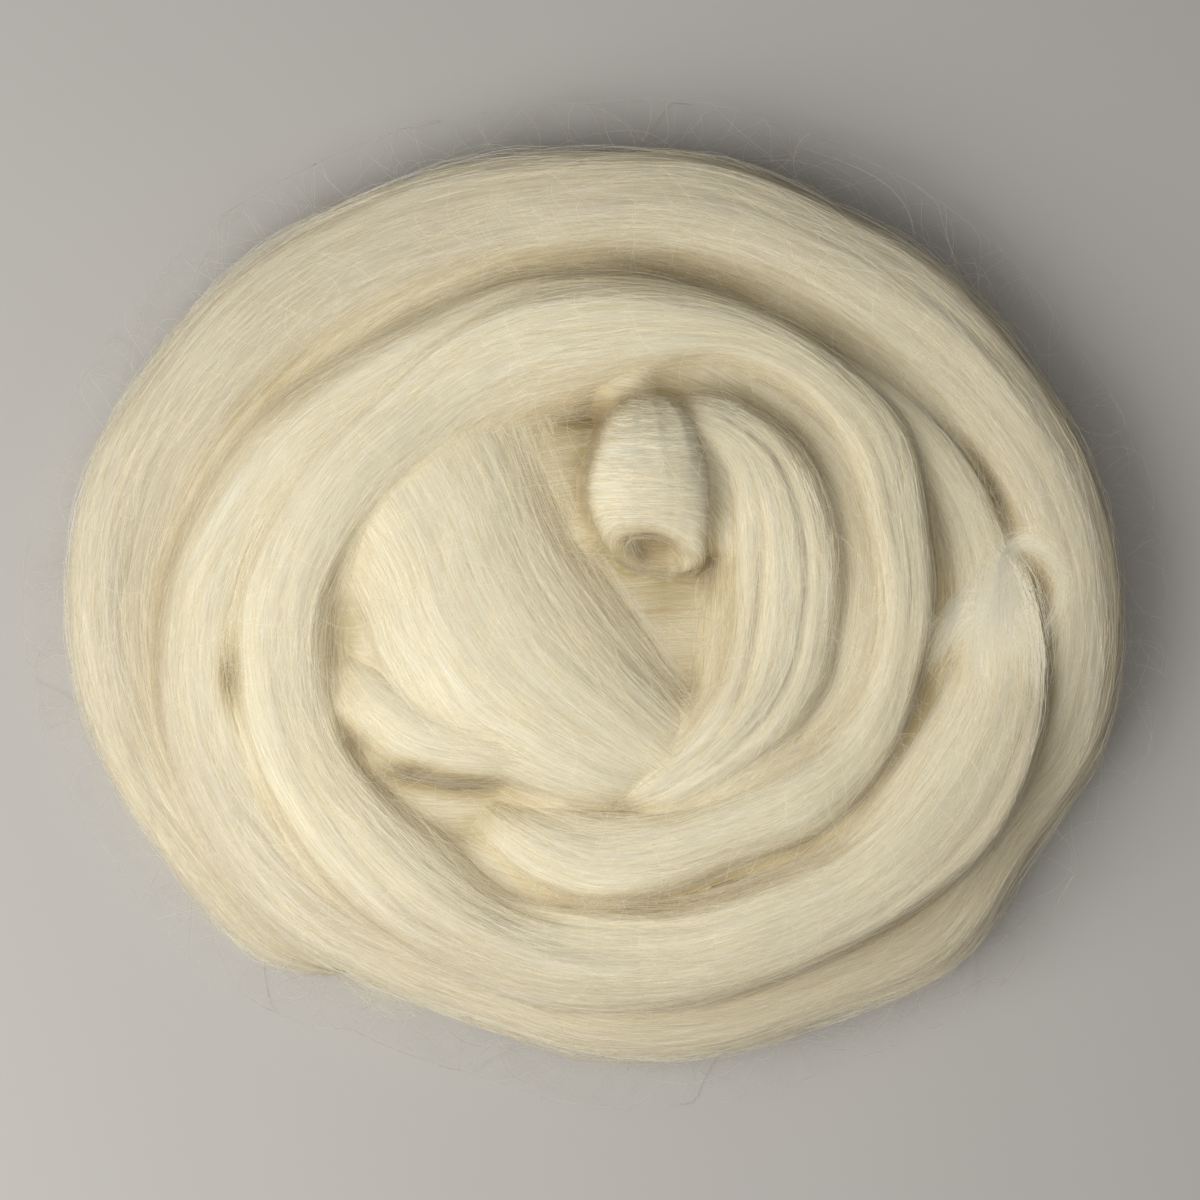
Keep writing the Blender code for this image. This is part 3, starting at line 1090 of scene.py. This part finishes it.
def lay_fibres(name, centres, normals, radii, shade, opened, shadows=True):
    """Fibres along rows of centre points: centres is (fibres, stations, 3) in millimetres."""
    count, stations, _ = centres.shape
    obj = fibre_block(name, count, stations - 1)
    mesh = obj.data
    at = np.rint(values_of(mesh, "along") * (stations - 1)).astype(int)
    around = values_of(mesh, "around") * 2 * pi
    each = len(mesh.vertices) // count
    which = np.arange(len(mesh.vertices)) // each
    forward = np.gradient(centres, axis=1)
    forward /= np.maximum(np.linalg.norm(forward, axis=2, keepdims=True), 1e-9)
    side = np.cross(normals, forward)
    side /= np.maximum(np.linalg.norm(side, axis=2, keepdims=True), 1e-9)
    up = np.cross(forward, side)
    taper = np.sin(pi * np.clip(np.arange(stations) / (stations - 1), 0, 1)) ** 0.35
    thick = radii[which] * taper[at]
    places = (
        centres[which, at]
        + side[which, at] * (np.cos(around) * thick)[:, None]
        + up[which, at] * (np.sin(around) * thick)[:, None]
    )
    set_places(mesh, places)
    keep_values(mesh, "shade", shade[which])
    keep_values(mesh, "openness", opened[which, at])
    keep_values(mesh, "thinness", outer_grey_at(places))
    mesh.materials.clear()
    mesh.materials.append(fibre_wool)
    mesh.shade_smooth()
    obj.visible_shadow = shadows
    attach(obj, "root")
    print(name, count, "fibres", len(mesh.polygons) * 2, "triangles at most")
    return obj


FIBRE_STATIONS = 6
FIBRES_PER_PIECE = 7000
FIBRE_RADII = (0.03, 0.07)
FLOAT_UP = 3.5
OUTER_BAND = 14
OUTER_DEPTH = 25


def drawn_up(place):
    """Points a little way under the soft top are drawn up onto it; deep ones stay."""
    deep = at_map(soft_top, place[..., 0], place[..., 1]) - place[..., 2]
    near = np.clip((FLOAT_UP + 1 - deep), 0, 1)
    place[..., 2] += np.where(deep > 0, near * deep, 0)
    return deep


def combed_fibres(length, density, side=(-0.14, 0.62), lifts=(0.0, 0.28), wild_share=0.10, runs=(12, 42)):
    """Fibres that lie along one length, as rows of centres with normals and openness.

    Density is fibres on each square centimetre. Side is the part of the way round where they start, and
    lifts is how far their middles stand off. A share of them is wild and stands off further.
    """
    wanted = int(density * length.reach * length.girth / 100)
    start = chance.uniform(0, 1.0, wanted) * length.reach
    turn = chance.uniform(*side, wanted)
    run = chance.uniform(*runs, wanted)
    drift = chance.standard_t(3, wanted).clip(-5, 5) * 0.085 * run / length.girth
    t = np.linspace(0, 1, FIBRE_STATIONS)
    waves = chance.uniform(0.6, 1.7, wanted)[:, None]
    phase = chance.uniform(0, 2 * pi, wanted)[:, None]
    crimp = chance.uniform(0.1, 0.5, wanted)[:, None] * np.sin(2 * pi * waves * t + phase)
    if length.across:
        run = run * 0.7 / length.girth
        drift = chance.normal(-1.5, 1.4, wanted)
        at = start[:, None] + drift[:, None] * t + crimp
        share = turn[:, None] + run[:, None] * t
    else:
        at = start[:, None] + run[:, None] * t
        share = turn[:, None] + drift[:, None] * t + crimp / length.girth
        inside = at[:, -2] < length.reach - 3
        at, share = at[inside], share[inside]
    at = np.clip(at, 0.5, length.reach - 0.5)
    place = length.sample(length.place, at, share)
    normal = length.sample(length.normal, at, share)
    normal /= np.maximum(np.linalg.norm(normal, axis=2, keepdims=True), 1e-9)
    wild = chance.random(len(at)) < wild_share
    raise_by = np.where(wild, chance.uniform(0.4, 1.5, len(at)), chance.uniform(*lifts, len(at)))
    deep = drawn_up(place)
    edge = outline_radius(np.arctan2(place[..., 1], place[..., 0]))
    outer = np.hypot(place[..., 0], place[..., 1]) > edge - OUTER_BAND
    keep = ((deep < FLOAT_UP) | (outer & (deep < OUTER_DEPTH)))[:, 1:-1].any(axis=1)
    place, normal, raise_by = place[keep], normal[keep], raise_by[keep]
    arch = np.sin(pi * t) ** 0.7
    place = place + normal * (raise_by[:, None] * arch - 0.05)[..., None]
    place[..., 2] = np.maximum(place[..., 2], 0.3)
    return place, normal, openness_at(place)


# fibres on each square centimetre, and 20 on a length that isn't named
DENSITY = {
    "hidden_bed": 1,
    "middle_floor": 9,
    "curl": 34,
    "broad_fold": 24,
    "tucked_fold": 24,
    "side_fold": 22,
}
gathered = []
for length in LENGTHS:
    made = combed_fibres(length, DENSITY.get(length.name, 20))
    print(length.name, len(made[0]), "fibres seen")
    gathered.append(made)
gathered.append(combed_fibres(BY_NAME["outer_turns"], 2.6, side=(-0.13, 0.05), lifts=(0.3, 2.4)))
centres, normals, seen = (np.concatenate(parts) for parts in zip(*gathered))
order = chance.permutation(len(centres))
centres, normals, seen = centres[order], normals[order], seen[order]
print("fibres in all", len(centres))
for k in range(0, len(centres), FIBRES_PER_PIECE):
    part = slice(k, k + FIBRES_PER_PIECE)
    count = len(centres[part])
    lay_fibres(
        "combed_fibres_%d" % (k // FIBRES_PER_PIECE + 1),
        centres[part],
        normals[part],
        chance.uniform(*FIBRE_RADII, count),
        chance.random(count),
        seen[part],
        shadows=False,
    )

# %% [markdown]
# ## Stray hairs
#
# A few hairs always escape the comb and lie across the others. They bridge the creases from one length to
# the next, so each one is stretched over the map like a string that only touches the high places.

# %% Stray hairs that lie across the turns

HAIR_STATIONS = 11


def wandering(starts, headings, lengths, bends):
    """Lines in the plane that start there, with a heading in radians and a smoothly changing bend."""
    steps = HAIR_STATIONS - 1
    t = np.linspace(0, 1, steps)
    count = len(starts)
    sway = chance.normal(0, 1, (count, 1))
    curve = bends[:, None] + sway * np.sin(2 * pi * t + chance.uniform(0, 6.3, (count, 1)))
    turn = headings[:, None] + np.cumsum(curve, axis=1) / steps * 1.6
    step = (lengths / steps)[:, None]
    moves = np.stack([np.cos(turn) * step, np.sin(turn) * step], axis=2)
    return np.concatenate([starts[:, None], starts[:, None] + np.cumsum(moves, axis=1)], axis=1)


def crossing_hairs(count):
    """Hairs spread evenly over the nest, kept where wool lies under all of a hair and it needn't rise far."""
    radius = 104 * np.sqrt(chance.random(count))
    bearing = chance.uniform(0, 2 * pi, count)
    starts = np.column_stack([np.cos(bearing) * radius * 1.1, np.sin(bearing) * radius * 0.93])
    headings = bearing + pi / 2 + chance.normal(0, 0.7, count)
    flat = wandering(starts, headings, chance.uniform(10, 34, count), chance.normal(0, 1.1, count))
    high = at_map(soft_top, flat[..., 0], flat[..., 1])
    bridged = high.copy()
    for _ in range(3):
        near = (np.roll(bridged, 1, axis=1) + np.roll(bridged, -1, axis=1)) / 2
        near[:, 0], near[:, -1] = bridged[:, 0], bridged[:, -1]
        bridged = np.maximum(bridged, near)
    t = np.linspace(0, 1, HAIR_STATIONS)
    bridged += chance.uniform(0.1, 0.9, (count, 1)) * np.sin(pi * t) ** 0.6 + 0.02
    keep = (high.min(axis=1) > 2) & (np.ptp(bridged, axis=1) < 9)
    return np.dstack([flat, bridged])[keep]


def lay_hairs(name, centres, thin, thick, shadows=False):
    """Hairs along those centres, painted paler than the rest with the painted light of an open place."""
    count = len(centres)
    normals = np.zeros_like(centres)
    normals[..., 2] = 1
    opened = np.full(centres.shape[:2], 0.95)
    radii = chance.uniform(thin, thick, count)
    return lay_fibres(name, centres, normals, radii, chance.uniform(0.4, 1, count), opened, shadows)


lay_hairs("crossing_hairs", crossing_hairs(2400), 0.03, 0.05)

# %% [markdown]
# ## Fly-away hairs
#
# Round the outline fine hairs stand off in loose arcs and rest on the table. They start a little way
# inside the edge, turn outwards and sink down.

# %% Fly-away hairs round the outline

HAIR_REACH = 12.5


def edge_hairs(count):
    """Hairs that start just inside the outline, turn outwards and sink. None reaches far past the outline."""
    bearing = chance.uniform(0, 2 * pi, count)
    radius = outline_radius(bearing) - chance.uniform(0.2, 5, count)
    starts = np.column_stack([np.cos(bearing) * radius, np.sin(bearing) * radius])
    way = np.where(chance.random(count) < 0.5, 1, -1)
    outward = np.abs(chance.normal(0.25, 0.4, count))
    headings = bearing + way * (pi / 2 - outward)
    lengths = chance.gamma(3.0, 8.5, count).clip(8, 60)
    flat = wandering(starts, headings, lengths, way * chance.normal(0.9, 1.6, count))
    far = np.linalg.norm(flat, axis=2)
    limit = outline_radius(np.arctan2(flat[..., 1], flat[..., 0])) + HAIR_REACH
    flat = flat * np.minimum(1, limit / np.maximum(far, 1))[..., None]
    t = np.linspace(0, 1, HAIR_STATIONS)
    begin = chance.uniform(2, 20, (count, 1))
    end = chance.uniform(0.5, 14, (count, 1))
    hump = chance.normal(0, 1.5, (count, 1)) * np.sin(pi * t)
    return np.dstack([flat, np.maximum(begin * (1 - t) + end * t + hump, 0.4)])


lay_hairs("flyaway_hairs", edge_hairs(1500), 0.03, 0.055, shadows=True)

# %% [markdown]
# ## The frayed ends
#
# Roving is pulled apart, never cut, so an end thins out into wisps. Each wisp here is a bundle of hairs
# round a guide line. One loops back, some fan out to the side, and one carries on from the tail of the
# outer turn.

# %% The pulled end, frayed

FRAY_GUIDES = (
    # the middle of each wisp as x, y, height at each place; then its spread and its count of hairs
    (
        (92.5, -14, 38), (93, 0, 37), (95.3, 9, 35), (99.5, 14.5, 34),
        (106, 13.5, 33), (110.5, 7, 31), (109, -2, 30), (104, -11, 31),
        1.0, 150,
    ),
    ((96, -20, 39), (96, -6, 38.5), (97, 4, 37), (99, 11, 35), (103, 13.5, 33), 2.2, 150),
    ((90, -22, 38.5), (90, -8, 38), (92, 3, 37), (94, 11, 35), (96, 16, 32), 2.4, 150),
    ((101, -18, 39), (98, -5, 39), (91, -1, 38.5), (85, -6, 36), (80, -13, 33), 2.6, 150),
    ((104, -24, 38), (104, -10, 38), (101, 2, 36.5), (97, 10, 35), (92, 15, 31), 2.0, 110),
    ((94, 12, 34), (89, 5, 35), (84.5, -3, 34), (80.5, -11, 32), (77, -20, 31), 1.6, 90),
    ((-80, -62, 8), (-70, -76, 6), (-60, -86, 4), (-50, -92, 2.5), (-40, -98, 2), 1.8, 90),
)


def frayed_hairs():
    """Each wisp's hairs, spread round its guide and kept on or just over the wool below."""
    found = []
    t = np.linspace(0, 1, HAIR_STATIONS)
    for *guide, spread, each in FRAY_GUIDES:
        line = evenly(np.array([(*p, *p) for p in guide]), 1.0)[0][:, :3]
        at = np.linspace(0, 1, len(line))
        first = chance.uniform(-0.05, 0.45, (each, 1))
        last = chance.uniform(0.6, 1.0, (each, 1))
        share = np.clip(first + (last - first) * t, 0, 1)
        place = np.stack([np.interp(share, at, column) for column in line.T], axis=2)
        off = chance.normal(0, spread, (each, 1, 3)) * (1, 1, 0.35)
        wave = chance.normal(0, 0.45, (each, 1, 3))
        phase = chance.uniform(0, 6, (each, 1))
        wave = wave * np.sin(2 * pi * t * 1.4 + phase)[..., None]
        place += off * (0.7 + 0.6 * share[..., None]) + wave
        under = at_map(soft_top, place[..., 0], place[..., 1]) + 0.1
        place[..., 2] = np.maximum(np.minimum(place[..., 2], under + 3), under)
        found.append(place)
    return np.concatenate(found)


lay_hairs("frayed_hairs", frayed_hairs(), 0.045, 0.075)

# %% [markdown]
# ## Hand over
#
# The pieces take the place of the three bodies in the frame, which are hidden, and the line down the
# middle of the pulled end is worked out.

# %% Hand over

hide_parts("wound_nest")
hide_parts("loose_end")
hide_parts("curled_tip")
loose_line = upper.middle[upper.along < LOOSE_REACH - 6][::-1] * MM

# %% [markdown]
# ## The floor
#
# The floor is only there to catch the soft shadow, so it is one plain pale square and doesn't belong to
# the part.

# %% Floor
FLOOR_HALF = 3.0
shape = bmesh.new()
bmesh.ops.create_grid(shape, x_segments=1, y_segments=1, size=FLOOR_HALF)
floor_mesh = bpy.data.meshes.new("floor")
shape.to_mesh(floor_mesh)
shape.free()
floor = bpy.data.objects.new("floor", floor_mesh)
bpy.context.scene.collection.objects.link(floor)
plaster = bpy.data.materials.new("pale floor")
plaster.use_nodes = True
plaster.node_tree.nodes["Principled BSDF"].inputs["Base Color"].default_value = (0.5, 0.48, 0.45, 1)
plaster.node_tree.nodes["Principled BSDF"].inputs["Roughness"].default_value = 0.9
floor_mesh.materials.append(plaster)
